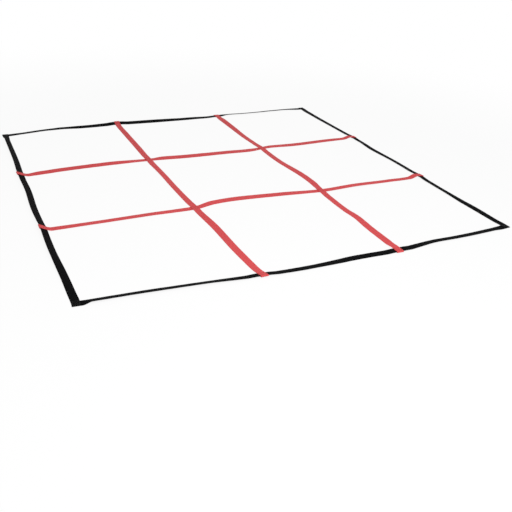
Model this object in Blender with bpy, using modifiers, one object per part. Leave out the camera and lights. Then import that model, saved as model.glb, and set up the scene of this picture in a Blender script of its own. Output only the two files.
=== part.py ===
"""A square agility ladder of flat webbing: nine squares inside a black border, laid out on the ground.

Metres, +Z up. X runs from left to right and Y from front to back. The origin is the middle of the
outline's bottom. Four black straps make the border and four red ones divide it. Where a red strap meets
the border, its end goes over the border, round the border's outer edge and back underneath. A boxed cross
of thread holds the layers wherever two straps meet. The straps lie as a slack net lies when it is thrown
out: each wanders a little to the side and rolls a little on to one edge.
"""

import math

import bmesh
import bpy
from mathutils import Matrix, Vector

# Driving dimensions
PITCH = 0.5  # from the middle of one strap to the middle of the next
WEBBING_WIDTH = 0.025
WEBBING_THICKNESS = 0.0015
SELVEDGE_ROUND = 0.0004
SEAT_GAP = 0.0003  # between sewn layers, and between thread and webbing
HEM_SETBACK = 0.001  # a hem's cut end stops this far short of the border's inner edge
FLAT_MARGIN = 0.003  # straps stay flat this far past the sewn square
LANDING_RUN = 0.04  # length over which a strap comes down from what it is sewn on
STATION_STEP = 0.04  # cross-sections of a free run are about this far apart
SEAM_MARGIN = 0.003  # from a strap's edge to the seam's outer line
THREAD_WIDTH = 0.0009

# Counts and ratios
SQUARES = 3  # along a side
LANDING_STEPS = 4
WRAP_STEPS = 8
STEEPEST_LANDING = 2.5  # a steep tee's landing shortens until its first slope is this many times the mean
HEM_SLANT = 0.04  # share of the half width by which a slanted hem reaches further past the border's edge
SHARP_ANGLE = 60  # degrees; only sharper corners than this are rounded

# Colour and roughness of each cloth and thread
BLACK_WEBBING = ((0.012, 0.012, 0.014), 0.7)
RED_WEBBING = ((0.70, 0.075, 0.075), 0.65)
BLACK_THREAD = ((0.02, 0.02, 0.022), 0.5)
RED_THREAD = ((0.55, 0.05, 0.055), 0.5)

# What follows from them
HALF_WIDTH = WEBBING_WIDTH / 2
HALF_THICKNESS = WEBBING_THICKNESS / 2
LAYER = WEBBING_THICKNESS + SEAT_GAP  # from the middle of one layer to the middle of the next
FLAT_REACH = HALF_WIDTH + FLAT_MARGIN
UP = Vector((0, 0, 1))

# Where the straps meet, as (right, back) shares of the pitch away from an even grid. One row for each strap
# that runs from left to right, the front one first, with its places from left to right.
PLACE_SHARES = (
    ((-0.030, 0.070), (0.035, -0.014), (0.005, -0.035), (-0.030, -0.005)),
    ((-0.035, 0.000), (0.005, 0.005), (0.040, -0.010), (-0.005, -0.005)),
    ((-0.030, -0.025), (-0.010, 0.025), (0.030, 0.010), (0.015, 0.025)),
    ((-0.015, -0.030), (0.000, 0.025), (0.025, 0.015), (0.025, 0.035)),
)

# How each strap lies, from left to right or from front to back. Each row is one square: the strap's roll at
# the seam there, and then its bends on the way to the next seam. A bend is the share of the way, how far the
# strap lies to its left of a straight line, its roll, and how high it arches off the ground if it does. The
# first and the last of these lengths are shares of the pitch. The last row is the roll at the strap's end.
# Rolls are in degrees, and a positive roll lifts the strap's left edge.
LIE_SHARES = {
    "front_border_strap": (
        (0, (0.08, 0.000, -18), (0.33, 0.007, -17), (0.67, 0.005, -18)),
        (-10, (0.33, -0.010, -8), (0.67, 0.005, 2)),
        (2, (0.33, 0.008, -10), (0.55, -0.005, -10), (0.85, -0.007, -9)),
        (0,),
    ),
    "back_border_strap": (
        (0, (0.15, 0.010, -4), (0.33, 0.037, -4), (0.50, 0.045, 2), (0.67, 0.015, 10)),
        (16, (0.33, -0.010, 16), (0.67, -0.010, 8)),
        (0, (0.12, 0.015, -12), (0.33, 0.000, -13), (0.75, 0.010, -11)),
        (0,),
    ),
    "left_border_strap": (
        (0, (0.33, 0.000, 12), (0.67, 0.005, 24)),
        (29, (0.33, 0.005, 24), (0.67, -0.005, 24)),
        (24, (0.33, -0.005, 26), (0.85, 0.000, 29)),
        (0,),
    ),
    "right_border_strap": (
        (0, (0.33, 0.000, -3), (0.67, 0.005, 8.5)),
        (8, (0.33, -0.005, 8.5), (0.67, 0.005, 4), (0.85, -0.004, 9)),
        (7, (0.33, 0.004, 6), (0.67, 0.005, 3)),
        (0,),
    ),
    "left_lane_strap": (
        (0, (0.33, 0.005, -6), (0.67, -0.005, -8.5)),
        (0, (0.33, 0.005, 5), (0.67, 0.000, 7)),
        (0, (0.33, 0.000, -4), (0.67, 0.000, -3)),
        (0,),
    ),
    "right_lane_strap": (
        (0, (0.12, 0.000, -8), (0.33, 0.000, -7), (0.50, -0.009, -4), (0.67, 0.005, 1)),
        (0, (0.15, -0.018, -7), (0.33, -0.020, -7), (0.67, 0.005, -1)),
        (0, (0.15, 0.006, 3), (0.33, 0.010, 0), (0.67, 0.005, -10), (0.85, 0.002, -13)),
        (0,),
    ),
    "front_rung_strap": (
        (0, (0.33, -0.005, -4), (0.67, 0.000, -3)),
        (0, (0.15, 0.040, 7), (0.33, 0.050, 8.5), (0.67, 0.028, 6)),
        (0, (0.33, -0.006, -1, 0.007), (0.67, -0.005, -2), (0.85, -0.012, -2)),
        (0,),
    ),
    "back_rung_strap": (
        (0, (0.15, 0.002, 10), (0.33, 0.013, 10), (0.67, 0.013, 11)),
        (0, (0.12, -0.010, 12), (0.33, -0.025, 12), (0.67, -0.025, 9), (0.87, -0.030, 7)),
        (0, (0.10, 0.008, 3), (0.33, -0.013, 6), (0.67, -0.003, 5)),
        (0,),
    ),
}


def smooth(share):
    """Rises from 0 to 1 with level ends."""
    share = min(max(share, 0), 1)
    return share**2 * (3 - 2 * share)


def curve_between(start, leave, end, arrive, share):
    """A point on the cubic from start to end that leaves and arrives at these rates."""
    square, cube = share**2, share**3
    held = start * (2 * cube - 3 * square + 1) + end * (3 * square - 2 * cube)
    return held + leave * (cube - 2 * square + share) + arrive * (cube - square)


def rate_between(start, leave, end, arrive, share):
    """How fast the same cubic moves there."""
    square = share**2
    held = (end - start) * (6 * share - 6 * square)
    return held + leave * (3 * square - 4 * share + 1) + arrive * (3 * square - 2 * share)


def spaced(start, end, count):
    """Evenly spaced values from start up to the last one before end."""
    return [start + (end - start) * step / count for step in range(count)]


def left_of(way):
    return UP.cross(way).normalized()


def place(column, row):
    """The middle of a place where two straps meet, on the ground."""
    right, back = PLACE_SHARES[row][column]
    middle = SQUARES / 2
    return Vector(((column - middle + right) * PITCH, (row - middle + back) * PITCH, 0))


def rest_height(roll):
    """Height of a strap's middle when its lower edge is on the ground."""
    return HALF_WIDTH * abs(math.sin(roll)) + HALF_THICKNESS * math.cos(roll)


def hem_lift(roll):
    """How far a hem underneath raises a border strap that is rolled there."""
    past_edge = HALF_WIDTH * HEM_SLANT + LAYER + HALF_THICKNESS
    return LAYER * math.cos(roll) + past_edge * abs(math.sin(roll))


class Lie:
    """The line that a strap's middle follows over the ground, its roll, and how far each seam lifts it.

    A place along a strap is a knot's number plus a share of the way to the next knot. Its seams and its
    bends are knots.
    """

    def __init__(self, name, places, lifts):
        self.places = places
        self.lifts = lifts
        self.knots, self.rolls, self.arches, self.seams = [], [], [], []
        for number, (seam_roll, *bends) in enumerate(LIE_SHARES[name]):
            self.seams.append(len(self.knots))
            self.knots.append(places[number])
            self.rolls.append(math.radians(seam_roll))
            self.arches.append(0)
            for share, wander, roll, *arch in bends:
                start, end = places[number : number + 2]
                self.knots.append(start.lerp(end, share) + left_of(end - start) * wander * PITCH)
                self.rolls.append(math.radians(roll))
                self.arches.append(sum(arch) * PITCH)
        self.spans = [(end - start).length for start, end in zip(self.knots, self.knots[1:])]

    def ground(self, along):
        """The point on the ground below this place, and the direction there."""
        index = min(int(along), len(self.spans) - 1)
        start, end = self.knots[index : index + 2]
        leave = arrive = end - start
        if index > 0:
            both = sum(self.spans[index - 1 : index + 1])
            leave = (end - self.knots[index - 1]) * (self.spans[index] / both)
        if index + 1 < len(self.spans):
            both = sum(self.spans[index : index + 2])
            arrive = (self.knots[index + 2] - start) * (self.spans[index] / both)
        curve = (start, leave, end, arrive, along - index)
        return curve_between(*curve), rate_between(*curve).normalized()

    def eased(self, values, along):
        """One of the knots' values here: steady over a sewn square, and eased between knots elsewhere."""
        index = min(int(along), len(self.spans) - 1)
        start, end = (FLAT_REACH / self.spans[index] * (knot in self.seams) for knot in (index, index + 1))
        share = smooth((along - index - start) / (1 - start - end))
        return values[index] + (values[index + 1] - values[index]) * share

    def roll(self, along):
        return self.eased(self.rolls, along)

    def rest(self, along):
        """Height of the strap's middle where no seam lifts it."""
        return rest_height(self.roll(along)) + self.eased(self.arches, along)

    def height(self, along):
        """Height of the strap's middle, raised over each sewn square."""
        middle = self.ground(along)[0]
        raised = self.rest(along)
        for seam, lift in zip(self.places, self.lifts):
            raised += lift * (1 - smooth(((middle - seam).length - FLAT_REACH) / LANDING_RUN))
        return raised

    def section(self, along):
        """A cross-section: its middle, and the vector from there to the strap's left edge."""
        middle, way = self.ground(along)
        return middle + UP * self.height(along), edge_of(way, self.roll(along))

    def beyond(self, index, distance):
        """The place at this distance past a knot."""
        while distance > self.spans[index]:
            distance -= self.spans[index]
            index += 1
        return index + distance / self.spans[index]

    def stops(self, first_landing=LANDING_RUN, last_landing=LANDING_RUN):
        """Where the cross-sections go: close together beside a seam, and further apart between seams."""
        landings = [first_landing, *[LANDING_RUN] * (2 * SQUARES - 2), last_landing]
        found = []
        for number, (first, last) in enumerate(zip(self.seams, self.seams[1:])):
            length = sum(self.spans[first:last])
            low = FLAT_REACH + landings[2 * number]
            high = length - FLAT_REACH - landings[2 * number + 1]
            marks = [
                *spaced(FLAT_REACH, low, LANDING_STEPS),
                *spaced(low, high, round((high - low) / STATION_STEP)),
                *spaced(high, length - FLAT_REACH, LANDING_STEPS),
                length - FLAT_REACH,
            ]
            found += [self.beyond(first, mark) for mark in marks]
        return found


def edge_of(way, roll):
    """The vector from a strap's middle to its left edge."""
    side = left_of(way)
    return (side * math.cos(roll) + way.cross(side) * math.sin(roll)) * HALF_WIDTH


def border_sections(lie):
    """Cross-sections of a border strap, from one neighbour's outer edge to the other's."""
    sections = [lie.section(along) for along in lie.stops()]
    for end, sign in ((0, -1), (lie.seams[-1], 1)):
        way = lie.ground(end)[1]
        middle, edge = lie.section(end)
        sections.append((middle + way * HALF_WIDTH * sign, edge))
    return [sections[-2], *sections[:-2], sections[-1]]


class Tee:
    """Where an inner strap ends on a border: the plane of the border's middle, rolled as the border is."""

    def __init__(self, border, number, outward):
        self.middle, edge = border.section(border.seams[number])
        way = border.ground(border.seams[number])[1]
        self.normal = way.cross(edge).normalized()
        self.out = (outward - UP * self.normal.dot(outward) / self.normal.z).normalized()
        self.left = self.normal.cross(self.out)
        self.slope = self.out.z / math.hypot(self.out.x, self.out.y)
        slant = abs(outward.dot(way))
        self.turn = HALF_WIDTH * (1 + slant / math.sqrt(1 - slant**2))
        drop = self.at(-FLAT_REACH, LAYER).z - HALF_THICKNESS
        self.landing = min(LANDING_RUN, STEEPEST_LANDING * drop / max(self.slope, drop / LANDING_RUN))

    def at(self, out, over):
        """A point this far outward in the plane and this far over it."""
        return self.middle + self.out * out + self.normal * over

    def wrap(self):
        """Middles of the cross-sections, from the hem's cut end round the border's edge to its inner side."""
        line = [self.at(HEM_SETBACK - HALF_WIDTH, -LAYER)]
        for step in range(WRAP_STEPS + 1):
            angle = math.pi * (step / WRAP_STEPS - 1 / 2)
            line.append(self.at(self.turn + LAYER * math.cos(angle), LAYER * math.sin(angle)))
        return line + [self.at(-FLAT_REACH, LAYER)]

    def landed(self, lie, along, left):
        """A cross-section on the way down from the tee to the ground."""
        middle, way = lie.ground(along)
        share = ((middle - self.middle * Vector((1, 1, 0))).length - FLAT_REACH) / self.landing
        start = self.at(-FLAT_REACH, LAYER).z
        height = curve_between(start, -self.slope * self.landing, lie.rest(along), 0, share)
        edge = left.lerp(edge_of(way, lie.roll(along)).normalized(), smooth(share)).normalized() * HALF_WIDTH
        return middle + UP * height, edge


def inner_sections(lie, first, last):
    """Cross-sections of an inner strap, from hem to hem."""
    stops = lie.stops(first.landing, last.landing)
    starts = [(middle, -first.left * HALF_WIDTH) for middle in first.wrap()]
    starts += [first.landed(lie, along, -first.left) for along in stops[1:LANDING_STEPS]]
    ends = [last.landed(lie, along, last.left) for along in stops[-LANDING_STEPS:-1]]
    ends += [(middle, last.left * HALF_WIDTH) for middle in reversed(last.wrap())]
    return starts + [lie.section(along) for along in stops[LANDING_STEPS:-LANDING_STEPS]] + ends


def webbing(name, sections, material, collection):
    """A flat strip laid through the cross-sections, then given the webbing's thickness and selvedges."""
    bm = bmesh.new()
    steps = len(sections) - 1
    bmesh.ops.create_grid(bm, x_segments=steps, y_segments=1, size=1)
    for vert in bm.verts:
        middle, edge = sections[round((vert.co.x + 1) / 2 * steps)]
        vert.co = middle + edge * (1 if vert.co.y > 0 else -1)
    obj = placed(name, bm, material, collection)
    wall = obj.modifiers.new("webbing", "SOLIDIFY")
    wall.thickness = WEBBING_THICKNESS
    wall.offset = 0
    wall.use_even_offset = True
    selvedge = obj.modifiers.new("selvedge", "BEVEL")
    selvedge.width = SELVEDGE_ROUND
    selvedge.segments = 1
    selvedge.limit_method = "ANGLE"
    selvedge.angle_limit = math.radians(SHARP_ANGLE)


def seam(name, middle, way, normal, material, collection):
    """A boxed cross of thread on top of a sewn square, whose top layer's middle and direction are given."""
    bm = bmesh.new()
    bmesh.ops.create_grid(bm, x_segments=1, y_segments=1, size=HALF_WIDTH - SEAM_MARGIN)
    bmesh.ops.poke(bm, faces=bm.faces)
    obj = placed(name, bm, material, collection)
    across = normal.cross(way).normalized()
    turned = Matrix((across.cross(normal), across, normal)).transposed().to_4x4()
    seat = HALF_THICKNESS + SEAT_GAP + THREAD_WIDTH / 2
    obj.matrix_world = Matrix.Translation(middle + normal * seat) @ turned
    thread = obj.modifiers.new("thread", "WIREFRAME")
    thread.thickness = THREAD_WIDTH
    thread.use_even_offset = True
    thread.use_boundary = True
    thread.use_replace = True


def placed(name, bm, material, collection):
    """Makes the mesh an object with this material."""
    mesh = bpy.data.meshes.new(name)
    bm.to_mesh(mesh)
    bm.free()
    mesh.materials.append(material)
    obj = bpy.data.objects.new(name, mesh)
    collection.objects.link(obj)
    return obj


def cloth(name, color, roughness):
    """A plain material for webbing or thread."""
    material = bpy.data.materials.new(name)
    material.use_nodes = True
    shader = material.node_tree.nodes["Principled BSDF"]
    shader.inputs["Base Color"].default_value = (*color, 1)
    shader.inputs["Roughness"].default_value = roughness
    shader.inputs["Metallic"].default_value = 0
    material.diffuse_color = (*color, 1)
    return material


def centre(collection):
    """Moves everything so that the origin is the middle of the outline's bottom."""
    bpy.context.view_layer.update()
    graph = bpy.context.evaluated_depsgraph_get()
    points = []
    for obj in collection.objects:
        shown = obj.evaluated_get(graph)
        points += [shown.matrix_world @ vert.co for vert in shown.data.vertices]
    low = [min(point[axis] for point in points) for axis in range(3)]
    high = [max(point[axis] for point in points) for axis in range(2)]
    shift = Vector(((low[0] + high[0]) / 2, (low[1] + high[1]) / 2, low[2]))
    for obj in collection.objects:
        obj.matrix_world = Matrix.Translation(-shift) @ obj.matrix_world


def main():
    for obj in list(bpy.data.objects):
        bpy.data.objects.remove(obj)
    ladder = bpy.data.collections.new("agility_ladder")
    bpy.context.scene.collection.children.link(ladder)
    black = cloth("black webbing", *BLACK_WEBBING)
    red = cloth("red webbing", *RED_WEBBING)
    black_thread = cloth("black thread", *BLACK_THREAD)
    red_thread = cloth("red thread", *RED_THREAD)

    rows = [[place(column, row) for column in range(SQUARES + 1)] for row in range(SQUARES + 1)]
    columns = [list(line) for line in zip(*rows)]
    borders = {}
    for side, places, lift in (
        ("front", rows[0], 0),
        ("back", rows[-1], 0),
        ("left", columns[0], LAYER),
        ("right", columns[-1], LAYER),
    ):
        name = f"{side}_border_strap"
        tee_rolls = [row[0] for row in LIE_SHARES[name][1:-1]]
        lifts = [lift, *(hem_lift(math.radians(roll)) for roll in tee_rolls), lift]
        borders[side] = Lie(name, places, lifts)
        webbing(name, border_sections(borders[side]), black, ladder)

    inner = {}
    for kind, sides, ends, lines, lift in (
        ("lane", ("left", "right"), ("front", "back"), columns, LAYER),
        ("rung", ("front", "back"), ("left", "right"), rows, 0),
    ):
        for number, side in enumerate(sides, 1):
            name = f"{side}_{kind}_strap"
            lie = inner[name] = Lie(name, lines[number], [0, lift, lift, 0])
            first = Tee(borders[ends[0]], number, -lie.ground(0)[1])
            last = Tee(borders[ends[1]], number, lie.ground(lie.seams[-1])[1])
            webbing(name, inner_sections(lie, first, last), red, ladder)
            for end, tee in zip(ends, (first, last)):
                label = f"{end}_tee_seam_{number}"
                seam(label, tee.at(0, LAYER), tee.out, tee.normal, red_thread, ladder)

    over = UP * (HALF_THICKNESS + LAYER)
    for side in ("left", "right"):
        for end, row in (("front", 1), ("back", 2)):
            lane = inner[f"{side}_lane_strap"]
            middle, way = lane.ground(lane.seams[row])
            seam(f"{end}_{side}_crossing_seam", middle + over, way, UP, red_thread, ladder)
        for end, row in (("front", 0), ("back", SQUARES)):
            middle, way = borders[side].ground(borders[side].seams[row])
            seam(f"{end}_{side}_corner_seam", middle + over, way, UP, black_thread, ladder)
    centre(ladder)


main()
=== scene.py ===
"""A square agility ladder of flat webbing, laid out on the ground.

Four black straps make the border and four red ones divide it into nine squares. Each is woven webbing
with round selvedges and heat-cut ends, and a boxed cross of stitches goes through the layers wherever two
straps meet. Metres, +Z up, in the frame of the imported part.
"""

import math
from random import Random

import bmesh
import bpy
from bpy.props import FloatProperty, FloatVectorProperty, PointerProperty
from mathutils import Matrix, Vector


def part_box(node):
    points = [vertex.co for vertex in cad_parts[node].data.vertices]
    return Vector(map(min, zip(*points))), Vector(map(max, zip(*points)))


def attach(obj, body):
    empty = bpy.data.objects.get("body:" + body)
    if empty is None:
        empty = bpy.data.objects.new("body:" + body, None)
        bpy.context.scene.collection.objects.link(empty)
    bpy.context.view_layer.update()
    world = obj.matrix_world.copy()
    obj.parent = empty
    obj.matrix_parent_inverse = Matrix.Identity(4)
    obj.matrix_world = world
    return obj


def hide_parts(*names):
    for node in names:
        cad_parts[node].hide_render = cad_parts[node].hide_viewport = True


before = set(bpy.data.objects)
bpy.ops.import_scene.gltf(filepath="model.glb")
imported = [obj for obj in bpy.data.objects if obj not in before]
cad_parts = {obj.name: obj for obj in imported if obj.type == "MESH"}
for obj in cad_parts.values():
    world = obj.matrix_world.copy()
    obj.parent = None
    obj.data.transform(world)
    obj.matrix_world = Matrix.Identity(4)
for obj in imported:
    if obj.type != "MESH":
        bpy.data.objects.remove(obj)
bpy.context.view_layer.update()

bl_info = {
    "name": "Agility Ladder",
    "version": (1, 0, 0),
    "blender": (4, 5, 0),
    "location": "3D View > Sidebar > Ladder",
    "description": "Makes a square agility ladder of flat webbing, with its stitching and a plain stage",
    "category": "Add Mesh",
}

UP = Vector((0, 0, 1))

# Straps that are made alike, or that others lie on
FRONT_AND_BACK = ["front_border_strap", "back_border_strap"]
LEFT_AND_RIGHT = ["left_border_strap", "right_border_strap"]
LANES = ["left_lane_strap", "right_lane_strap"]
RUNGS = ["front_rung_strap", "back_rung_strap"]

# How the straps are made
SQUARES = 3  # along a side
ACROSS = 24  # faces across each side of a strap
RIM = 4  # faces round a selvedge
WRAP_STEPS = 16  # round a border's edge
STEEPEST_LANDING = 2.5  # a steep tee's landing shortens until its first slope is this many times the mean
HEM_SLANT = 0.04  # share of the half width by which a slanted hem reaches past the border's edge
SEALED_ENDS = ((0, 0), (0.25, 0.55), (0.6, 0.85), (1, 1))  # shares of the sealed length and the thickness
RIPPLE_WAVES = 4  # added up along a strap
RIPPLE_RUNS = (0.035, 0.16)  # metres from crest to crest, the shortest and the longest
STRAP_BAKE_ROWS = 5  # a strap's bake map is folded into these
STRAP_BAKE_MARGINS = (0.003, 0.02)  # shares of a row that stay empty at either end and along either side
MERGED_WITHIN = 0.01  # share of the webbing's half thickness, or of the thread, at which points become one

# How the stitches are made
BOX_STITCHES = 6  # along a side of a seam's box
CROSS_STITCHES = 8  # along each of its diagonals
THREAD_SIDES = 6
THREAD_STEPS = 10
STITCH_SPAN = 0.94  # share of the way to the next needle hole that a stitch covers
STITCH_ROUND = 0.35  # power of a sine: a smaller one makes a squarer arch
STITCH_LEAN = 5  # power of a cosine: a greater one makes its ends turn down later
STITCH_DIVE = 0.6  # share of the webbing's thickness that a stitch's ends go down
STITCH_PROUD = 0.3  # share of the thread by which its middle stands over the pulled cloth
STITCH_TURN = 0.03  # radians that a stitch may be turned by
STITCH_SHIFT = 1 / 12  # share of the thread that it may be shifted by
SEAM_BAKE_ROWS = 9  # stitches along each side of a seam's bake map
STITCH_BAKE_MARGIN = 0.08  # share of its cell that stays empty at each side of a stitch

# The webbing's finish. Noise is in grains a metre, across the strap and along it.
FLOAT_SLANT = 0.9  # how far a float runs along the strap for each metre across it
COLUMN_SHIFT = 0.5  # share of a float by which a column starts after the one beside it
WEAVE_MEAN = 0.53
FIBRES = (9000, 1500)
YARN_CHANGES = (3.7, 260)  # the first is for each column, not each metre
PATCHES = (7, 3)  # grains a metre, and detail
FUZZ = (700, 900)
FUZZY_EDGE = (0.9, 1)  # shares of the half width between which the fuzz grows
FUZZ_SEEN = (0.4, 0.7)  # its noise shows over the first, and in full over the second
FUZZ_TONE = (1.3, 0.006)  # times the yarn's tone, and added to it
FUZZ_SHARE = 0.45  # of that tone
# How much each of these changes the tone, the roughness and the relief. The weave's tone is painted shade
# in the grooves between floats, and the pulled tone is painted shade where the stitches pull the cloth in.
TONE_BY = {"weave": 0.34, "fibres": 0.3, "yarns": 0.22, "patches": 0.24, "pulled": 0.22, "melted": 0.45}
MATT_BY = {"patches": 0.12, "fibres": 0.12, "fuzz": 0.1, "melted": 0.35}
RELIEF_BY = {"fibres": 0.18, "fuzz": 0.3, "melted": 0.8}
RELIEF = 1 / 7  # of a float's length

# The thread's finish, with its noise in grains a metre, round the thread and along it
PLIES = 3
PLY_LAY = 1.3  # from one ply to the next, in thicknesses of the thread
THREAD_FIBRES = (6000, 3000)
THREAD_PATCHES = 160
THREAD_ROUGHNESS = 0.5
THREAD_GROOVE = 0.72  # painted shade between the plies
THREAD_TONE_BY = {"ply": 0.38, "fibres": 0.25, "patches": 0.3}
THREAD_MATT_BY = {"ply": 0.1, "fibres": 0.15}
THREAD_RELIEF_BY = {"fibres": 0.2}
THREAD_RELIEF = 1 / 6  # of its thickness

# The stage, in metres and degrees, and each lamp's name, place, width and watts
CAMERA_PLACE = (-1.0120, -2.1938, 0.9560)  # from the middle of the even grid
CAMERA_ANGLES = (-27.691, 28.599, 3.636)  # azimuth, elevation and roll
CAMERA_LENS = (45.265, 36)  # focal length and sensor width in millimetres
LAMPS = (
    ("key lamp", (-0.3, -2, 1.9), 1.6, 46),
    ("back lamp", (1.7, 3.2, 2), 1.5, 20),
)
SKY_LIGHT = 0.38  # strength of the white surroundings as a light
WHITE_SHARE = 0.9  # of plain white in what the camera sees of the floor by the ladder
WHITE_BEYOND = (0.9, 2.8)  # that share grows to the full from the first distance to the second
FLOOR_REACH = 12
FLOOR_ROUGHNESS = 0.9

# Where the straps meet, as (right, back) shares of the pitch away from an even grid. The rows go from the
# front to the back, and the places in each from left to right.
PLACE_SHARES = (
    ((-0.030, 0.070), (0.035, -0.014), (0.005, -0.035), (-0.030, -0.005)),
    ((-0.035, 0.000), (0.005, 0.005), (0.040, -0.010), (-0.005, -0.005)),
    ((-0.030, -0.025), (-0.010, 0.025), (0.030, 0.010), (0.015, 0.025)),
    ((-0.015, -0.030), (0.000, 0.025), (0.025, 0.015), (0.025, 0.035)),
)

# How each strap lies, from left to right or from front to back. Each row is one square: the strap's roll
# at the seam there, and then its bends on the way to the next seam. A bend is the share of the way, how
# far the strap lies to its left of a straight line, its roll, and how high it arches off the ground if it
# does. Both of these lengths are shares of the pitch. The last row is the roll at the strap's end. Rolls
# are in degrees, and a positive roll lifts the strap's left edge.
LIE_SHARES = {
    "front_border_strap": (
        (0, (0.08, 0.000, -18), (0.33, 0.007, -17), (0.67, 0.005, -18)),
        (-10, (0.33, -0.010, -8), (0.67, 0.005, 2)),
        (2, (0.33, 0.008, -10), (0.55, -0.005, -10), (0.85, -0.007, -9)),
        (0,),
    ),
    "back_border_strap": (
        (0, (0.15, 0.010, -4), (0.33, 0.037, -4), (0.50, 0.045, 2), (0.67, 0.015, 10)),
        (16, (0.33, -0.010, 16), (0.67, -0.010, 8)),
        (0, (0.12, 0.015, -12), (0.33, 0.000, -13), (0.75, 0.010, -11)),
        (0,),
    ),
    "left_border_strap": (
        (0, (0.33, 0.000, 12), (0.67, 0.005, 24)),
        (29, (0.33, 0.005, 24), (0.67, -0.005, 24)),
        (24, (0.33, -0.005, 26), (0.85, 0.000, 29)),
        (0,),
    ),
    "right_border_strap": (
        (0, (0.33, 0.000, -3), (0.67, 0.005, 8.5)),
        (8, (0.33, -0.005, 8.5), (0.67, 0.005, 4), (0.85, -0.004, 9)),
        (7, (0.33, 0.004, 6), (0.67, 0.005, 3)),
        (0,),
    ),
    "left_lane_strap": (
        (0, (0.33, 0.005, -6), (0.67, -0.005, -8.5)),
        (0, (0.33, 0.005, 5), (0.67, 0.000, 7)),
        (0, (0.33, 0.000, -4), (0.67, 0.000, -3)),
        (0,),
    ),
    "right_lane_strap": (
        (0, (0.12, 0.000, -8), (0.33, 0.000, -7), (0.50, -0.009, -4), (0.67, 0.005, 1)),
        (0, (0.15, -0.018, -7), (0.33, -0.020, -7), (0.67, 0.005, -1)),
        (0, (0.15, 0.006, 3), (0.33, 0.010, 0), (0.67, 0.005, -10), (0.85, 0.002, -13)),
        (0,),
    ),
    "front_rung_strap": (
        (0, (0.33, -0.005, -4), (0.67, 0.000, -3)),
        (0, (0.15, 0.040, 7), (0.33, 0.050, 8.5), (0.67, 0.028, 6)),
        (0, (0.33, -0.006, -1, 0.007), (0.67, -0.005, -2), (0.85, -0.012, -2)),
        (0,),
    ),
    "back_rung_strap": (
        (0, (0.15, 0.002, 10), (0.33, 0.013, 10), (0.67, 0.013, 11)),
        (0, (0.12, -0.010, 12), (0.33, -0.025, 12), (0.67, -0.025, 9), (0.87, -0.030, 7)),
        (0, (0.10, 0.008, 3), (0.33, -0.013, 6), (0.67, -0.003, 5)),
        (0,),
    ),
}


def length(name, description, metres):
    """A length that can be changed in the panel."""
    return FloatProperty(
        name=name, description=description, default=metres, min=0, precision=5, unit="LENGTH"
    )


def colour(name, description, red, green, blue):
    """A colour that can be changed in the panel."""
    tone = (red, green, blue)
    return FloatVectorProperty(
        name=name, description=description, default=tone, size=3, min=0, max=1, subtype="COLOR"
    )


class LadderSizes(bpy.types.PropertyGroup):
    """Sizes of the webbing, its hems, its weave and its stitching"""

    pitch: length("Pitch", "From the middle of one strap to the middle of the next", 0.5)
    webbing_width: length("Webbing Width", "Width of a strap", 0.025)
    webbing_thickness: length("Webbing Thickness", "Thickness of a strap", 0.0015)
    selvedge: length("Selvedge", "How far the round of a strap's edge reaches in", 0.0006)
    seat_gap: length("Seat Gap", "Between sewn layers", 0.0003)
    hem_setback: length("Hem Setback", "From a hem's cut end to the border's inner edge", 0.001)
    flat_margin: length("Flat Margin", "Straps stay flat this far past the sewn square", 0.003)
    landing_run: length("Landing Run", "Length of a strap's way down from what it is sewn on", 0.04)
    fine_step: length("Fine Step", "Between cross-sections at the seams", 0.0013)
    coarse_step: length("Coarse Step", "Between cross-sections in a free run", 0.0026)
    rib_height: length("Rib Height", "Height of the ribs along a strap", 0.00008)
    cupping: length("Cupping", "How far the middle of a free strap stands proud of its edges", 0.0003)
    ripple: length("Ripple", "How high the edges of a free strap wave", 0.0004)
    sealed_end: length("Sealed End", "Length of the melted edge at a cut end", 0.0009)
    column: length("Column", "Width of a column of the weave", 0.0021)
    float_length: length("Float Length", "From one float of yarn to the next along a strap", 0.0015)
    seam_margin: length("Seam Margin", "From a strap's edge to the seam's outer line", 0.003)
    cad_thread: length("Thread Stand-in", "Width of the plain thread that the stitches replace", 0.0009)
    thread: length("Thread", "Thickness of the sewing thread", 0.0006)
    stitch_depth: length("Stitch Depth", "How far the stitches pull the webbing in", 0.0003)
    stitch_spread: length("Stitch Spread", "How far that pull spreads to either side", 0.0011)


class LadderFinishes(bpy.types.PropertyGroup):
    """Colours of the webbing, the thread and the floor"""

    black_webbing: colour("Black Webbing", "Yarn of the border", 0.003, 0.003, 0.0034)
    red_webbing: colour("Red Webbing", "Yarn of the lanes and rungs", 0.72, 0.084, 0.09)
    black_thread: colour("Black Thread", "Thread of the corner seams", 0.009, 0.009, 0.0105)
    red_thread: colour("Red Thread", "Thread of the tee and crossing seams", 0.6, 0.05, 0.055)
    floor: colour("Floor", "Plain floor under the ladder", 0.93, 0.93, 0.93)


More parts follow.
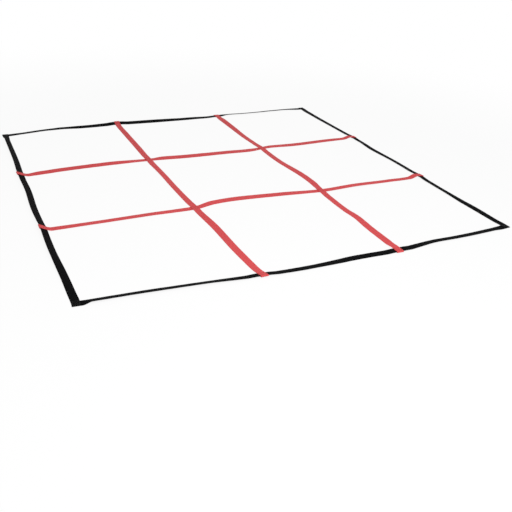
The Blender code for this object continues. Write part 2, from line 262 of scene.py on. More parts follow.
class Webbing:
    """The panel's sizes, and what follows from them."""

    def __init__(self, sizes):
        self.sizes = sizes
        self.pitch = sizes.pitch
        self.half_width = sizes.webbing_width / 2
        self.half_thickness = sizes.webbing_thickness / 2
        self.layer = sizes.webbing_thickness + sizes.seat_gap
        self.flat_reach = self.half_width + sizes.flat_margin
        self.landing_run = sizes.landing_run
        self.landed = self.flat_reach + self.landing_run
        self.seam_reach = self.half_width - sizes.seam_margin
        self.stitch_run = 2 * self.seam_reach / BOX_STITCHES

    def place(self, column, row):
        """The middle of a place where two straps meet, on the ground."""
        right, back = PLACE_SHARES[row][column]
        middle = SQUARES / 2
        return Vector(((column - middle + right) * self.pitch, (row - middle + back) * self.pitch, 0))

    def rest_height(self, roll):
        """Height of a strap's middle when its lower edge is on the ground."""
        return self.half_width * abs(math.sin(roll)) + self.half_thickness * math.cos(roll)

    def hem_lift(self, roll):
        """How far a hem underneath raises a border strap that is rolled there."""
        past_edge = self.half_width * HEM_SLANT + self.layer + self.half_thickness
        return self.layer * math.cos(roll) + past_edge * abs(math.sin(roll))

    def edge_of(self, way, roll):
        """The vector from a strap's middle to its left edge."""
        side = left_of(way)
        return (side * math.cos(roll) + way.cross(side) * math.sin(roll)) * self.half_width

    def marks(self, low, high, fine=True):
        """Evenly spaced lengths from low up to, but not including, high."""
        step = self.sizes.fine_step if fine else self.sizes.coarse_step
        count = max(1, round((high - low) / step))
        return [low + (high - low) * number / count for number in range(count)]


def smooth(share):
    """Rises from 0 to 1 with level ends."""
    share = min(max(share, 0), 1)
    return share**2 * (3 - 2 * share)


def curve_between(start, leave, end, arrive, share):
    """A point on the cubic from start to end that leaves and arrives at these rates."""
    square, cube = share**2, share**3
    held = start * (2 * cube - 3 * square + 1) + end * (3 * square - 2 * cube)
    return held + leave * (cube - 2 * square + share) + arrive * (cube - square)


def rate_between(start, leave, end, arrive, share):
    """How fast the same cubic moves there."""
    square = share**2
    held = (end - start) * (6 * share - 6 * square)
    return held + leave * (3 * square - 4 * share + 1) + arrive * (3 * square - 2 * share)


def left_of(way):
    return UP.cross(way).normalized()


class Lie:
    """The line that a strap's middle follows over the ground, its roll, and how far each seam lifts it.

    A place along a strap is a knot's number plus a share of the way to the next knot. Its seams and its
    bends are knots.
    """

    def __init__(self, web, name, places, lifts):
        self.web = web
        self.places = places
        self.lifts = lifts
        self.knots, self.rolls, self.arches, self.seams = [], [], [], []
        for number, (seam_roll, *bends) in enumerate(LIE_SHARES[name]):
            self.seams.append(len(self.knots))
            self.knots.append(places[number])
            self.rolls.append(math.radians(seam_roll))
            self.arches.append(0)
            for share, wander, roll, *arch in bends:
                start, end = places[number : number + 2]
                self.knots.append(start.lerp(end, share) + left_of(end - start) * wander * web.pitch)
                self.rolls.append(math.radians(roll))
                self.arches.append(sum(arch) * web.pitch)
        self.spans = [(end - start).length for start, end in zip(self.knots, self.knots[1:])]

    def ground(self, along):
        """The point on the ground below this place, and the direction there."""
        index = min(int(along), len(self.spans) - 1)
        start, end = self.knots[index : index + 2]
        leave = arrive = end - start
        if index > 0:
            both = sum(self.spans[index - 1 : index + 1])
            leave = (end - self.knots[index - 1]) * (self.spans[index] / both)
        if index + 1 < len(self.spans):
            both = sum(self.spans[index : index + 2])
            arrive = (self.knots[index + 2] - start) * (self.spans[index] / both)
        curve = (start, leave, end, arrive, along - index)
        return curve_between(*curve), rate_between(*curve).normalized()

    def eased(self, values, along):
        """One of the knots' values here: steady over a sewn square, and eased between knots elsewhere."""
        index = min(int(along), len(self.spans) - 1)
        reach = self.web.flat_reach
        start, end = (reach / self.spans[index] * (knot in self.seams) for knot in (index, index + 1))
        share = smooth((along - index - start) / (1 - start - end))
        return values[index] + (values[index + 1] - values[index]) * share

    def roll(self, along):
        return self.eased(self.rolls, along)

    def rest(self, along):
        """Height of the strap's middle where no seam lifts it."""
        return self.web.rest_height(self.roll(along)) + self.eased(self.arches, along)

    def free(self, middle, seam):
        """From 0 over a sewn square to 1 where the strap is past its landing."""
        return smooth(((middle - seam).length - self.web.flat_reach) / self.web.landing_run)

    def section(self, along):
        """A cross-section: its middle, the vector to the strap's left edge, and how free it lies."""
        middle, way = self.ground(along)
        frees = [self.free(middle, seam) for seam in self.places]
        height = self.rest(along) + sum(lift * (1 - free) for lift, free in zip(self.lifts, frees))
        return middle + UP * height, self.web.edge_of(way, self.roll(along)), min(frees)

    def beyond(self, index, distance):
        """The place at this distance past a knot."""
        while index < len(self.spans) - 1 and distance > self.spans[index]:
            distance -= self.spans[index]
            index += 1
        return index + distance / self.spans[index]

    def squares(self):
        """For each square, the length between its seams and (distance, place) for each cross-section."""
        landed = self.web.landed
        for first, last in zip(self.seams, self.seams[1:]):
            reach = sum(self.spans[first:last])
            distances = [
                *self.web.marks(0, landed),
                *self.web.marks(landed, reach - landed, fine=False),
                *self.web.marks(reach - landed, reach),
            ]
            yield reach, [(distance, self.beyond(first, distance)) for distance in distances]


def border_sections(lie):
    """Cross-sections of a border strap, from one neighbour's outer edge to the other's."""
    sections = [lie.section(along) for _, stops in lie.squares() for _, along in stops]
    sections.append(lie.section(lie.seams[-1]))
    overhang = lie.web.marks(lie.web.half_width, 0)
    starts, ends = (
        [(middle + way * (sign * distance), edge, 0) for distance in overhang]
        for (middle, edge, _), way, sign in (
            (sections[0], lie.ground(0)[1], -1),
            (sections[-1], lie.ground(lie.seams[-1])[1], 1),
        )
    )
    return starts + sections + ends[::-1]


class Tee:
    """Where an inner strap ends on a border: the plane of the border's middle, rolled as the border is."""

    def __init__(self, border, number, outward):
        self.web = web = border.web
        self.middle, edge, _ = border.section(border.seams[number])
        way = border.ground(border.seams[number])[1]
        self.normal = way.cross(edge).normalized()
        self.out = (outward - UP * self.normal.dot(outward) / self.normal.z).normalized()
        self.left = self.normal.cross(self.out)
        self.slope = self.out.z / math.hypot(self.out.x, self.out.y)
        slant = abs(outward.dot(way))
        self.turn = web.half_width * (1 + slant / math.sqrt(1 - slant**2))
        drop = self.at(-web.flat_reach, web.layer).z - web.half_thickness
        steepest = STEEPEST_LANDING * drop / max(self.slope, drop / web.landing_run)
        self.landing = min(web.landing_run, steepest)

    def at(self, out, over):
        """A point this far outward in the plane and this far over it."""
        return self.middle + self.out * out + self.normal * over

    def wrap(self):
        """Middles of cross-sections from the hem's cut end, round the border's edge, to its inner side."""
        web = self.web
        under = web.marks(web.sizes.hem_setback - web.half_width, self.turn)
        line = [self.at(out, -web.layer) for out in under]
        for step in range(WRAP_STEPS):
            angle = math.pi * (step / WRAP_STEPS - 1 / 2)
            line.append(self.at(self.turn + web.layer * math.cos(angle), web.layer * math.sin(angle)))
        over = web.marks(-self.turn, web.flat_reach)
        return line + [self.at(-inward, web.layer) for inward in over]

    def landed(self, lie, along, left):
        """A cross-section on the way down from the tee to the ground."""
        middle, way = lie.ground(along)
        beyond = (middle - self.middle * Vector((1, 1, 0))).length - self.web.flat_reach
        share = beyond / self.landing
        start = self.at(-self.web.flat_reach, self.web.layer).z
        height = curve_between(start, -self.slope * self.landing, lie.rest(along), 0, share)
        resting = self.web.edge_of(way, lie.roll(along)).normalized()
        edge = left.lerp(resting, smooth(share)).normalized() * self.web.half_width
        return middle + UP * height, edge, smooth(beyond / self.web.landing_run)


def inner_sections(lie, first, last):
    """Cross-sections of an inner strap, from hem to hem."""
    web = lie.web
    sections = [(middle, -first.left * web.half_width, 0) for middle in first.wrap()]
    for number, (reach, stops) in enumerate(lie.squares()):
        for distance, along in stops:
            from_first = distance if number == 0 else math.inf
            to_last = reach - distance if number == SQUARES - 1 else math.inf
            if min(from_first, to_last) < web.flat_reach:
                continue
            if from_first < web.flat_reach + first.landing:
                sections.append(first.landed(lie, along, -first.left))
            elif to_last < web.flat_reach + last.landing:
                sections.append(last.landed(lie, along, last.left))
            else:
                sections.append(lie.section(along))
    return sections + [(middle, last.left * web.half_width, 0) for middle in reversed(last.wrap())]


class Seam:
    """A sewn square: the middle of its top layer, its own axes, and how many layers it holds."""

    def __init__(self, web, middle, way, normal, layers):
        across = normal.cross(way).normalized()
        turned = Matrix((across.cross(normal), across, normal)).transposed().to_4x4()
        self.web = web
        self.matrix = Matrix.Translation(middle) @ turned
        self.inverse = self.matrix.inverted()
        self.middle = middle
        self.normal = normal
        self.top = web.half_thickness
        self.bottom = -(layers - 1) * web.layer - web.half_thickness

    def near(self, point):
        """Whether the stitches may pull this point."""
        return (point - self.middle).length < 2 * self.web.half_width

    def pull(self, point):
        """How the stitches move a point of the webbing, and how close to them it is, from 0 to 1."""
        x, y, over = self.inverse @ point
        reach = self.web.seam_reach
        outside = max(abs(x), abs(y)) - reach
        line = abs(outside)
        if outside < 0:
            line = min(line, abs(abs(x) - abs(y)) / math.sqrt(2))
        close = math.exp(-((line / self.web.sizes.stitch_spread) ** 2))
        skin = self.web.sizes.seat_gap
        inward = -1 if abs(over - self.top) < skin else 1 if abs(over - self.bottom) < skin else 0
        return self.normal * (inward * close * self.web.sizes.stitch_depth), close * abs(inward)


class Ladder:
    """Where every strap and every seam lies."""

    def __init__(self, sizes):
        self.web = web = Webbing(sizes)
        self.straps, self.seams = {}, {}
        rows = [[web.place(column, row) for column in range(SQUARES + 1)] for row in range(SQUARES + 1)]
        columns = [list(line) for line in zip(*rows)]
        borders = {}
        for side, places, lift in (
            ("front", rows[0], 0),
            ("back", rows[-1], 0),
            ("left", columns[0], web.layer),
            ("right", columns[-1], web.layer),
        ):
            name = f"{side}_border_strap"
            tee_rolls = [row[0] for row in LIE_SHARES[name][1:-1]]
            lifts = [lift, *(web.hem_lift(math.radians(roll)) for roll in tee_rolls), lift]
            borders[side] = Lie(web, name, places, lifts)
            self.straps[name] = border_sections(borders[side])
        inner = {}
        for kind, sides, ends, lines, lift in (
            ("lane", ("left", "right"), ("front", "back"), columns, web.layer),
            ("rung", ("front", "back"), ("left", "right"), rows, 0),
        ):
            for number, side in enumerate(sides, 1):
                name = f"{side}_{kind}_strap"
                lie = inner[name] = Lie(web, name, lines[number], [0, lift, lift, 0])
                first = Tee(borders[ends[0]], number, -lie.ground(0)[1])
                last = Tee(borders[ends[1]], number, lie.ground(lie.seams[-1])[1])
                self.straps[name] = inner_sections(lie, first, last)
                for end, tee in zip(ends, (first, last)):
                    seam = Seam(web, tee.at(0, web.layer), tee.out, tee.normal, 3)
                    self.seams[f"{end}_tee_seam_{number}"] = seam
        over = UP * (web.half_thickness + web.layer)
        for side in ("left", "right"):
            for kind, lie, lines in (
                ("crossing", inner[f"{side}_lane_strap"], (("front", 1), ("back", 2))),
                ("corner", borders[side], (("front", 0), ("back", SQUARES))),
            ):
                for end, row in lines:
                    middle, way = lie.ground(lie.seams[row])
                    self.seams[f"{end}_{side}_{kind}_seam"] = Seam(web, middle + over, way, UP, 2)

        low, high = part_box("front_left_corner_seam")
        seat = web.half_thickness + sizes.seat_gap + sizes.cad_thread / 2
        self.shift = (low + high) / 2 - self.seams["front_left_corner_seam"].middle - UP * seat


def sealed(sections, run):
    """Pairs of a cross-section and its share of the full thickness, which is 0 at both cut ends."""
    first, last = sections[0], sections[-1]
    ends = []
    for end, following in ((first, sections[1]), (last, sections[-2])):
        way = (following[0] - end[0]).normalized()
        ends.append([((end[0] + way * (run * share), end[1], 0), thick) for share, thick in SEALED_ENDS])
    inside = [(section, 1) for section in sections[1:-1]]
    return ends[0] + inside + ends[1][::-1]


def girth(web):
    """Points round a cross-section: shares of half its width and thickness, rib, and length so far."""
    shoulder = 1 - web.sizes.selvedge / web.half_width
    points = []
    for side in (1, -1):
        for step in range(ACROSS):
            points.append((side * shoulder * (1 - 2 * step / ACROSS), side, step % 2))
        for step in range(RIM):
            angle = math.pi * step / RIM
            rim = shoulder + (1 - shoulder) * math.sin(angle)
            points.append((-side * rim, side * math.cos(angle), 0))
    points.append(points[0])
    found, around = [], 0
    for number, (across, over, rib) in enumerate(points):
        if number:
            before = points[number - 1]
            sideways = (across - before[0]) * web.half_width
            around += math.hypot(sideways, (over - before[1]) * web.half_thickness)
        found.append((across, over, rib, around))
    return found


def ripples(seed):
    """How high a strap ripples, from 0 to 1, at any length along it and share across it."""
    draw = Random(seed)
    waves = []
    for _ in range(RIPPLE_WAVES):
        waves.append((draw.uniform(*RIPPLE_RUNS), draw.uniform(0, math.tau), draw.uniform(-1, 1)))

    def height(along, across):
        total = sum(math.sin(math.tau * along / run + phase + lean * across) for run, phase, lean in waves)
        return (1 + total / len(waves)) / 2

    return height


def mesh_from(bm, name):
    mesh = bpy.data.meshes.new(name)
    bm.to_mesh(mesh)
    bm.free()
    return mesh


def added(scene, name, data):
    """A new object in the scene."""
    made = bpy.data.objects.new(name, data)
    scene.collection.objects.link(made)
    return made


def inset(share, margin):
    """A place on a map, kept this far from both of its sides."""
    return margin + (1 - 2 * margin) * share


def followed(rings):
    """The length so far at each cross-section, and the normal of the webbing's face there."""
    alongs, normals = [0.0], []
    for number, ((middle, edge, _), _) in enumerate(rings):
        beside = (max(number - 1, 0), min(number + 1, len(rings) - 1))
        before, after = (rings[other][0][0] for other in beside)
        normals.append((after - before).cross(edge).normalized())
        if number:
            alongs.append(alongs[-1] + (middle - before).length)
    return alongs, normals


def strap_maps(bm, spots, points, alongs, overlap):
    """Gives a strap a map in metres for its weave, and one folded into rows for its bake."""
    row_run = alongs[-1] / STRAP_BAKE_ROWS
    at_end, at_side = STRAP_BAKE_MARGINS
    weave, bake = bm.loops.layers.uv.new("weave"), bm.loops.layers.uv.new("OFBake")
    for face in bm.faces:
        low = min(spots[vert.index][0] for vert in face.verts)
        row = min(int(alongs[low] / row_run), STRAP_BAKE_ROWS - 1)
        for loop in face.loops:
            ring, spot = spots[loop.vert.index]
            around = points[spot][3]
            loop[weave].uv = (around, alongs[ring])
            run = (alongs[ring] - row * row_run) / (row_run + overlap)
            side = row + inset(around / points[-1][3], at_side)
            loop[bake].uv = (inset(run, at_end), side / STRAP_BAKE_ROWS)


def woven(ladder, sections, seed):
    """A closed strip of webbing laid through the cross-sections, and its length."""
    web, sizes = ladder.web, ladder.web.sizes
    rings = sealed(sections, sizes.sealed_end)
    points = girth(web)
    alongs, normals = followed(rings)
    wave = ripples(seed)
    seams = [[seam for seam in ladder.seams.values() if seam.near(middle)] for (middle, _, _), _ in rings]
    steps, around = len(rings) - 1, len(points) - 1
    bm = bmesh.new()
    bmesh.ops.create_grid(bm, x_segments=steps, y_segments=around, size=1)
    across_layer = bm.verts.layers.float.new("across")
    sealed_layer = bm.verts.layers.float.new("sealed")
    # How close each point is to a seam's stitches, where the webbing's material paints shade
    pulled_layer = bm.verts.layers.float.new("pulled")
    spots = []
    for vert in bm.verts:
        ring, spot = round((vert.co.x + 1) / 2 * steps), round((vert.co.y + 1) / 2 * around)
        (middle, edge, free), thick = rings[ring]
        across, over, rib, _ = points[spot]
        lift = over * thick * (web.half_thickness + rib * sizes.rib_height)
        lift += free * sizes.cupping * (1 - across**2)
        co = middle + edge * across + normals[ring] * lift
        co += UP * (free * sizes.ripple * wave(alongs[ring], across))
        for seam in seams[ring]:
            move, pulled = seam.pull(co)
            co += move
            vert[pulled_layer] = max(vert[pulled_layer], pulled)
        vert.co = co + ladder.shift
        from_end = min(alongs[ring], alongs[-1] - alongs[ring])
        vert[across_layer] = across
        vert[sealed_layer] = 1 - smooth(from_end / (2 * sizes.sealed_end))
        spots.append((ring, spot))
    bm.verts.index_update()
    strap_maps(bm, spots, points, alongs, sizes.coarse_step)
    bmesh.ops.remove_doubles(bm, verts=bm.verts, dist=web.half_thickness * MERGED_WITHIN)
    bmesh.ops.recalc_face_normals(bm, faces=bm.faces)
    return bm, alongs[-1]


def stitch(web):
    """A stitch, one unit long: it comes up out of its needle hole, lies on the cloth and dives."""
    sizes = web.sizes
    bm = bmesh.new()
    bmesh.ops.create_grid(bm, x_segments=THREAD_STEPS, y_segments=THREAD_SIDES, size=1)
    twist, bake = bm.loops.layers.uv.new("twist"), bm.loops.layers.uv.new("OFBake")
    spots = []
    for vert in bm.verts:
        share, turn = (vert.co.x + 1) / 2, (vert.co.y + 1) / 2
        spots.append((share, turn))
        slope = math.pi * share
        rise = math.sin(slope) ** STITCH_ROUND if 0 < share < 1 else 0
        lean = math.cos(slope) ** STITCH_LEAN * math.pi / 2
        end = round(share * THREAD_STEPS) in (0, THREAD_STEPS)
        radius = 0 if end else sizes.thread / 2
        side, over = radius * math.cos(math.tau * turn), radius * math.sin(math.tau * turn)
        x = (1 - STITCH_SPAN * math.cos(slope)) / 2 - over * math.sin(lean) / web.stitch_run
        z = (rise - 1) * sizes.webbing_thickness * STITCH_DIVE + over * math.cos(lean)
        vert.co = (x, side, z)
    bm.verts.index_update()
    for face in bm.faces:
        for loop in face.loops:
            share, turn = spots[loop.vert.index]
            loop[twist].uv = (turn * math.pi * sizes.thread, share * web.stitch_run)
            loop[bake].uv = (inset(share, STITCH_BAKE_MARGIN), inset(turn, STITCH_BAKE_MARGIN))
    bmesh.ops.remove_doubles(bm, verts=bm.verts, dist=sizes.thread * MERGED_WITHIN)
    bmesh.ops.recalc_face_normals(bm, faces=bm.faces)
    return mesh_from(bm, "stitch")


def stitch_places(seam, seed):
    """A matrix for each stitch of a boxed cross on both faces of a sewn square."""
    web, sizes = seam.web, seam.web.sizes
    corners = [Vector((x, y, 0)) * web.seam_reach for x, y in ((-1, -1), (1, -1), (1, 1), (-1, 1))]
    lines = [(start, end, BOX_STITCHES) for start, end in zip(corners, corners[1:] + corners[:1])]
    lines += [(start, end, CROSS_STITCHES) for start, end in zip(corners[:2], corners[2:])]
    draw = Random(seed)
    sunk = sizes.rib_height - sizes.stitch_depth + sizes.thread * STITCH_PROUD
    for face, turn in ((seam.top + sunk, 0), (seam.bottom - sunk, math.pi)):
        seat = seam.matrix @ Matrix.Translation((0, 0, face)) @ Matrix.Rotation(turn, 4, "X")
        for start, end, count in lines:
            way = (end - start) / count
            for number in range(count):
                heading = math.atan2(way.y, way.x) + draw.uniform(-STITCH_TURN, STITCH_TURN)
                aside = Vector((draw.uniform(-1, 1), draw.uniform(-1, 1), 0)) * STITCH_SHIFT
                hole = Matrix.Translation(start + way * number + aside * sizes.thread)
                turned = hole @ Matrix.Rotation(heading, 4, "Z")
                yield seat @ turned @ Matrix.Diagonal((way.length, 1, 1, 1))


def stitched(ladder, seam, seed):
    """A seam's stitches, each with a cell of its own on their bake map."""
    one = stitch(ladder.web)
    bm = bmesh.new()
    for number, matrix in enumerate(stitch_places(seam, seed)):
        bm.from_mesh(one)
        bm.verts.ensure_lookup_table()
        bm.faces.ensure_lookup_table()
        bmesh.ops.transform(bm, matrix=matrix, verts=bm.verts[-len(one.vertices) :])
        bake = bm.loops.layers.uv["OFBake"]
        cell = Vector(divmod(number, SEAM_BAKE_ROWS))
        for face in bm.faces[-len(one.polygons) :]:
            for loop in face.loops:
                loop[bake].uv = (loop[bake].uv + cell) / SEAM_BAKE_ROWS
    bmesh.ops.translate(bm, verts=bm.verts, vec=ladder.shift)
    bpy.data.meshes.remove(one)
    return bm


class Wire:
    """An output socket in a tree of nodes. Arithmetic on it adds Math nodes."""

    def __init__(self, nodes, socket):
        self.nodes = nodes
        self.socket = socket

    def __add__(self, other):
        return self.nodes.math("ADD", self, other)

    def __sub__(self, other):
        return self.nodes.math("SUBTRACT", self, other)

    def __rsub__(self, other):
        return self.nodes.math("SUBTRACT", other, self)

    def __mul__(self, other):
        return self.nodes.math("MULTIPLY", self, other)

    def __truediv__(self, other):
        return self.nodes.math("DIVIDE", self, other)

    def __rtruediv__(self, other):
        return self.nodes.math("DIVIDE", other, self)

    __radd__ = __add__
    __rmul__ = __mul__


class Nodes:
    """A tree of shader nodes in the making."""

    def __init__(self, owner):
        owner.use_nodes = True
        self.tree = owner.node_tree

    def node(self, kind, settings, sockets, output=0):
        """Adds a node: its settings first, and then the values or the links of its sockets."""
        made = self.tree.nodes.new(kind)
        for name, value in settings.items():
            setattr(made, name, value)
        for name, value in sockets.items():
            self.join(value, made.inputs[name])
        return Wire(self, made.outputs[output])

    def join(self, value, socket):
        """Links a wire to a socket, or sets the socket to a value."""
        if isinstance(value, Wire):
            self.tree.links.new(value.socket, socket)
        else:
            socket.default_value = value

    def math(self, operation, *values):
        return self.node("ShaderNodeMath", {"operation": operation}, dict(enumerate(values)))

    def seen(self):
        """1 for what the camera sees, also by way of a glossy or clear surface, and 0 for other light."""
        kinds = ("Camera", "Glossy", "Transmission")
        rays = [self.node("ShaderNodeLightPath", {}, {}, f"Is {kind} Ray") for kind in kinds]
        return self.math("MINIMUM", rays[0] + rays[1] + rays[2], 1)


class Finish(Nodes):
    """A material in the making."""

    def __init__(self, name):
        self.material = bpy.data.materials.new(name)
        super().__init__(self.material)
        self.shader = self.tree.nodes["Principled BSDF"]

    def attribute(self, name):
        return self.node("ShaderNodeAttribute", {"attribute_name": name}, {}, "Fac")

    def axes(self, uv_map):
        """The two axes of one of the piece's own maps, in metres."""
        found = self.node("ShaderNodeUVMap", {"uv_map": uv_map}, {})
        return [self.node("ShaderNodeSeparateXYZ", {}, {0: found}, axis) for axis in (0, 1)]

    def noise(self, where, scale, detail=2):
        return self.node("ShaderNodeTexNoise", {}, {"Vector": where, "Scale": scale, "Detail": detail})

    def grain(self, x, y, grains):
        """Noise with this many grains for each unit of x and of y."""
        return self.noise(self.node("ShaderNodeCombineXYZ", {}, {0: x * grains[0], 1: y * grains[1]}), 1)

    def humps(self, value):
        """A row of round humps from 0 to 1, one for each whole step of the value."""
        from_middle = self.math("FRACT", value) * 2 - 1
        return 1 - from_middle * from_middle

    def place(self):
        return self.node("ShaderNodeTexCoord", {}, {}, "Object")

    def between(self, value, low, high):
        """Eases from 0 at the low value to 1 at the high one."""
        sockets = {"Value": value, "From Min": low, "From Max": high}
        return self.node("ShaderNodeMapRange", {"interpolation_type": "SMOOTHSTEP"}, sockets)

    def shade(self, tone, factor):
        """A colour made lighter or darker."""
        return self.node("ShaderNodeVectorMath", {"operation": "SCALE"}, {0: tone, "Scale": factor})

    def blend(self, factor, first, second):
        """A colour between two others."""
        sockets = {"Factor": factor, 6: first, 7: second}
        return self.node("ShaderNodeMix", {"data_type": "RGBA"}, sockets, 2)

    def bump(self, height, distance):
        return self.node("ShaderNodeBump", {}, {"Height": height, "Distance": distance})

    def surface(self, **sockets):
        for name, value in sockets.items():
            self.join(value, self.shader.inputs[name.replace("_", " ")])


def webbing_finish(name, sizes, tone, roughness, gloss, contrast):
    """Columns of slanted floats with painted shade in the grooves between them, with fibres, fuzzy
    selvedges, melted ends, and painted shade where the stitches pull the cloth in at seams.
    """
    finish = Finish(name)
    across, along = finish.axes("weave")
    column = across / sizes.column
    number = finish.math("FLOOR", column)
    zigzag = finish.math("PINGPONG", across, sizes.column)
    pick = (along + zigzag * FLOAT_SLANT) / sizes.float_length + number * COLUMN_SHIFT
    groove = 1 - finish.humps(column)
    weave = finish.humps(pick) * (1 - groove * groove)
    fibres = finish.grain(across, along, FIBRES)
    yarns = finish.grain(number, along, YARN_CHANGES)
    patches = finish.noise(finish.place(), *PATCHES)
    edge = finish.between(finish.math("ABSOLUTE", finish.attribute("across")), *FUZZY_EDGE)
    fuzz = edge * finish.between(finish.grain(across, along, FUZZ), *FUZZ_SEEN)
    melted, pulled = finish.attribute("sealed"), finish.attribute("pulled")

    # Painted shade: the weave's floats are lighter and the grooves between them darker, scaled with the
    # fibres' and yarns' own tone by the contrast
    swing = (weave - WEAVE_MEAN) * TONE_BY["weave"]
    swing = swing + (fibres - 0.5) * TONE_BY["fibres"] + (yarns - 0.5) * TONE_BY["yarns"]
    tone_and_shade = (1 + swing * contrast) * (1 + (patches - 0.5) * TONE_BY["patches"])
    # Painted shade where the stitches pull the cloth in, and the melted ends' own darker colour
    tone_and_shade = tone_and_shade * (1 - pulled * TONE_BY["pulled"]) * (1 - melted * TONE_BY["melted"])
    fuzz_tone = [min(1, channel * FUZZ_TONE[0] + FUZZ_TONE[1]) for channel in tone]
    matt = roughness + (patches - 0.5) * MATT_BY["patches"] + (fibres - 0.5) * MATT_BY["fibres"]
    height = weave * (1 - melted * RELIEF_BY["melted"]) + fibres * RELIEF_BY["fibres"]
    finish.surface(
        Base_Color=finish.blend(fuzz * FUZZ_SHARE, finish.shade(tone, tone_and_shade), (*fuzz_tone, 1)),
        Roughness=matt + fuzz * MATT_BY["fuzz"] - melted * MATT_BY["melted"],
        Specular_IOR_Level=gloss,
        Normal=finish.bump(height + fuzz * RELIEF_BY["fuzz"], sizes.float_length * RELIEF),
    )
    return finish.material


def thread_finish(name, sizes, tone, gloss):
    """Twisted sewing thread, with painted shade between its plies."""
    finish = Finish(name)
    around, along = finish.axes("twist")
    ply = finish.humps(along / (sizes.thread * PLY_LAY) + around / (math.pi * sizes.thread) * PLIES)
    fibres = finish.grain(around, along, THREAD_FIBRES)
    patches = finish.noise(finish.place(), THREAD_PATCHES)
    # Painted shade: the plies lighter on their crests and darker in the grooves between them, with the
    # fibres' own tone
    tone_and_shade = THREAD_GROOVE + ply * THREAD_TONE_BY["ply"] + (fibres - 0.5) * THREAD_TONE_BY["fibres"]
    matt = THREAD_ROUGHNESS - ply * THREAD_MATT_BY["ply"] + (fibres - 0.5) * THREAD_MATT_BY["fibres"]
    finish.surface(
        Base_Color=finish.shade(tone, tone_and_shade + (patches - 0.5) * THREAD_TONE_BY["patches"]),
        Roughness=matt,
        Specular_IOR_Level=gloss,
        Normal=finish.bump(ply + fibres * THREAD_RELIEF_BY["fibres"], sizes.thread * THREAD_RELIEF),
    )
    return finish.material


def floor_finish(tone):
    """A pale floor that keeps shadows near the ladder and is seen as plain white further away."""
    finish = Finish("pale floor")
    finish.surface(Base_Color=(*tone, 1), Roughness=FLOOR_ROUGHNESS, Specular_IOR_Level=0)
    away = finish.node("ShaderNodeVectorMath", {"operation": "LENGTH"}, {0: finish.place()}, "Value")
    share = WHITE_SHARE + finish.between(away, *WHITE_BEYOND) * (1 - WHITE_SHARE)
    plain = Wire(finish, finish.shader.outputs[0])
    white = finish.node("ShaderNodeEmission", {}, {"Color": (1, 1, 1, 1), "Strength": 1})
    mixed = finish.node("ShaderNodeMixShader", {}, {0: finish.seen() * share, 1: plain, 2: white})
    finish.join(mixed, finish.tree.nodes["Material Output"].inputs["Surface"])
    return finish.material


# How each slot is finished: webbing with its roughness, gloss and contrast (of its painted weave shade and
# its yarn tone), and thread with its gloss
FINISHES = {
    "black_webbing": (webbing_finish, 0.66, 0.013, 2.2),
    "red_webbing": (webbing_finish, 0.66, 0.12, 1),
    "black_thread": (thread_finish, 0.25),
    "red_thread": (thread_finish, 0.4),
}


def finished(scene, slot):
    """The slot's material, made if there is none yet."""
    name = slot.replace("_", " ")
    make, *values = FINISHES[slot]
    tone = getattr(scene.ladder_finishes, slot)
    return bpy.data.materials.get(name) or make(name, scene.ladder_sizes, tone, *values)


def piece(scene, name, bm, node, slot):
    """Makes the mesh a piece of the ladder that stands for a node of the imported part."""
    mesh = mesh_from(bm, name)
    mesh.shade_smooth()
    mesh.materials.append(finished(scene, slot))
    made = added(scene, name, mesh)
    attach(made, "root")
    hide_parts(node)
    return made


def strap_pieces(scene, slot, nodes):
    """Makes these straps, each a sheet of cloth laid on what carries it."""
    ladder = Ladder(scene.ladder_sizes)
    for node in nodes:
        bm, run = woven(ladder, ladder.straps[node], sorted(ladder.straps).index(node))
        made = piece(scene, node.replace("strap", "webbing"), bm, node, slot)


def seam_pieces(scene, slot, kinds):
    """Makes the stitches of these kinds of seam."""
    ladder = Ladder(scene.ladder_sizes)
    for seed, (node, seam) in enumerate(sorted(ladder.seams.items())):
        if any(kind in node for kind in kinds):
            piece(scene, node.replace("seam", "stitches"), stitched(ladder, seam, seed), node, slot)


def add_floor(scene):
    """A plain floor, just low enough for the stitches beneath the ladder."""
    bm = bmesh.new()
    bmesh.ops.create_grid(bm, x_segments=1, y_segments=1, size=FLOOR_REACH)
    bmesh.ops.translate(bm, verts=bm.verts, vec=UP * -scene.ladder_sizes.stitch_depth)
    mesh = mesh_from(bm, "floor")
    mesh.materials.append(floor_finish(scene.ladder_finishes.floor))
    return added(scene, "floor", mesh)


def surroundings():
    """Surroundings that are seen as plain white and light the ladder less brightly."""
    world = bpy.data.worlds.new("studio")
    sky = Nodes(world)
    background = sky.tree.nodes["Background"]
    background.inputs["Color"].default_value = (1, 1, 1, 1)
    sky.join(SKY_LIGHT + sky.seen() * (1 - SKY_LIGHT), background.inputs["Strength"])
    return world


def add_lamp(scene, name, where, width, power):
    """A square lamp that faces the ladder's middle."""
    lamp = bpy.data.lights.new(name, "AREA")
    lamp.size = width
    lamp.energy = power
    stand = added(scene, name, lamp)
    stand.location = where
    stand.rotation_euler = (-Vector(where)).to_track_quat("-Z", "Y").to_euler()


def add_camera(scene, grid):
    """A camera at the photograph's viewing angle, placed from the middle of the even grid."""
    azimuth, elevation, roll = (math.radians(angle) for angle in CAMERA_ANGLES)
    right = Vector((math.cos(azimuth), math.sin(azimuth), 0))
    forward = UP.cross(right) * math.cos(elevation) - UP * math.sin(elevation)
    up = right.cross(forward)
    axes = (
        right * math.cos(roll) + up * math.sin(roll),
        up * math.cos(roll) - right * math.sin(roll),
        -forward,
    )
    camera = added(scene, "camera", bpy.data.cameras.new("camera"))
    camera.data.lens, camera.data.sensor_width = CAMERA_LENS
    place = Matrix.Translation(grid + Vector(CAMERA_PLACE))
    camera.matrix_world = place @ Matrix(axes).transposed().to_4x4()
    return camera


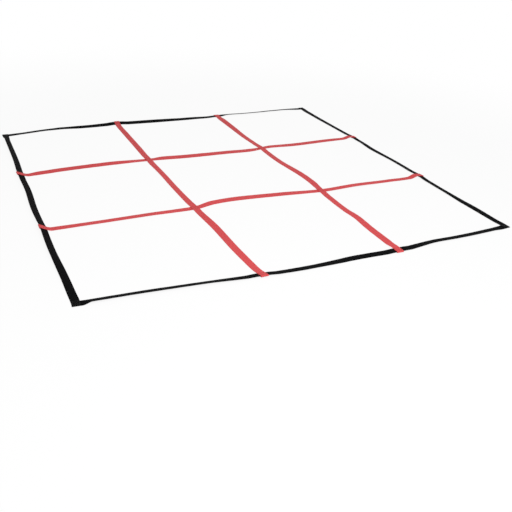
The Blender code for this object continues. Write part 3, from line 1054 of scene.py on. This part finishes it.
class LADDER_OT_border_straps(bpy.types.Operator):
    """Makes the four black straps of the border"""

    bl_idname = "ladder.border_straps"
    bl_label = "Border Straps"

    def execute(self, context):
        strap_pieces(context.scene, "black_webbing", FRONT_AND_BACK)
        strap_pieces(context.scene, "black_webbing", LEFT_AND_RIGHT)
        return {"FINISHED"}


class LADDER_OT_lanes(bpy.types.Operator):
    """Makes the two red straps that run from front to back"""

    bl_idname = "ladder.lanes"
    bl_label = "Lanes"

    def execute(self, context):
        strap_pieces(context.scene, "red_webbing", LANES)
        return {"FINISHED"}


class LADDER_OT_rungs(bpy.types.Operator):
    """Makes the two red straps that run from left to right"""

    bl_idname = "ladder.rungs"
    bl_label = "Rungs"

    def execute(self, context):
        strap_pieces(context.scene, "red_webbing", RUNGS)
        return {"FINISHED"}


class LADDER_OT_seams(bpy.types.Operator):
    """Makes the stitches wherever two straps meet"""

    bl_idname = "ladder.seams"
    bl_label = "Seams"

    def execute(self, context):
        seam_pieces(context.scene, "black_thread", ["corner"])
        seam_pieces(context.scene, "red_thread", ["crossing", "tee"])
        return {"FINISHED"}


class LADDER_OT_stage(bpy.types.Operator):
    """Makes the floor, the light and the camera"""

    bl_idname = "ladder.stage"
    bl_label = "Stage"

    def execute(self, context):
        scene = context.scene
        floor = add_floor(scene)
        scene.world = surroundings()
        for lamp in LAMPS:
            add_lamp(scene, *lamp)
        shift = Ladder(scene.ladder_sizes).shift
        scene.camera = add_camera(scene, Vector((shift.x, shift.y, 0)))
        scene.view_settings.view_transform = "Standard"
        return {"FINISHED"}


MAKERS = (
    LADDER_OT_border_straps,
    LADDER_OT_lanes,
    LADDER_OT_rungs,
    LADDER_OT_seams,
    LADDER_OT_stage,
)


class LADDER_PT_panel(bpy.types.Panel):
    """Lists the sizes, the finishes and the pieces of the ladder"""

    bl_label = "Agility Ladder"
    bl_idname = "LADDER_PT_panel"
    bl_space_type = "VIEW_3D"
    bl_region_type = "UI"
    bl_category = "Ladder"

    def draw(self, context):
        for group in (context.scene.ladder_sizes, context.scene.ladder_finishes):
            column = self.layout.column()
            for name in group.__annotations__:
                column.prop(group, name)
        for maker in MAKERS:
            self.layout.operator(maker.bl_idname)


CLASSES = (LadderSizes, LadderFinishes, *MAKERS, LADDER_PT_panel)


def register():
    for each in CLASSES:
        bpy.utils.register_class(each)
    bpy.types.Scene.ladder_sizes = PointerProperty(type=LadderSizes)
    bpy.types.Scene.ladder_finishes = PointerProperty(type=LadderFinishes)


def unregister():
    del bpy.types.Scene.ladder_finishes
    del bpy.types.Scene.ladder_sizes
    for each in reversed(CLASSES):
        bpy.utils.unregister_class(each)


def main():
    register()
    bpy.ops.ladder.border_straps()
    bpy.ops.ladder.lanes()
    bpy.ops.ladder.rungs()
    bpy.ops.ladder.seams()
    bpy.ops.ladder.stage()


if __name__ == "__main__":
    main()
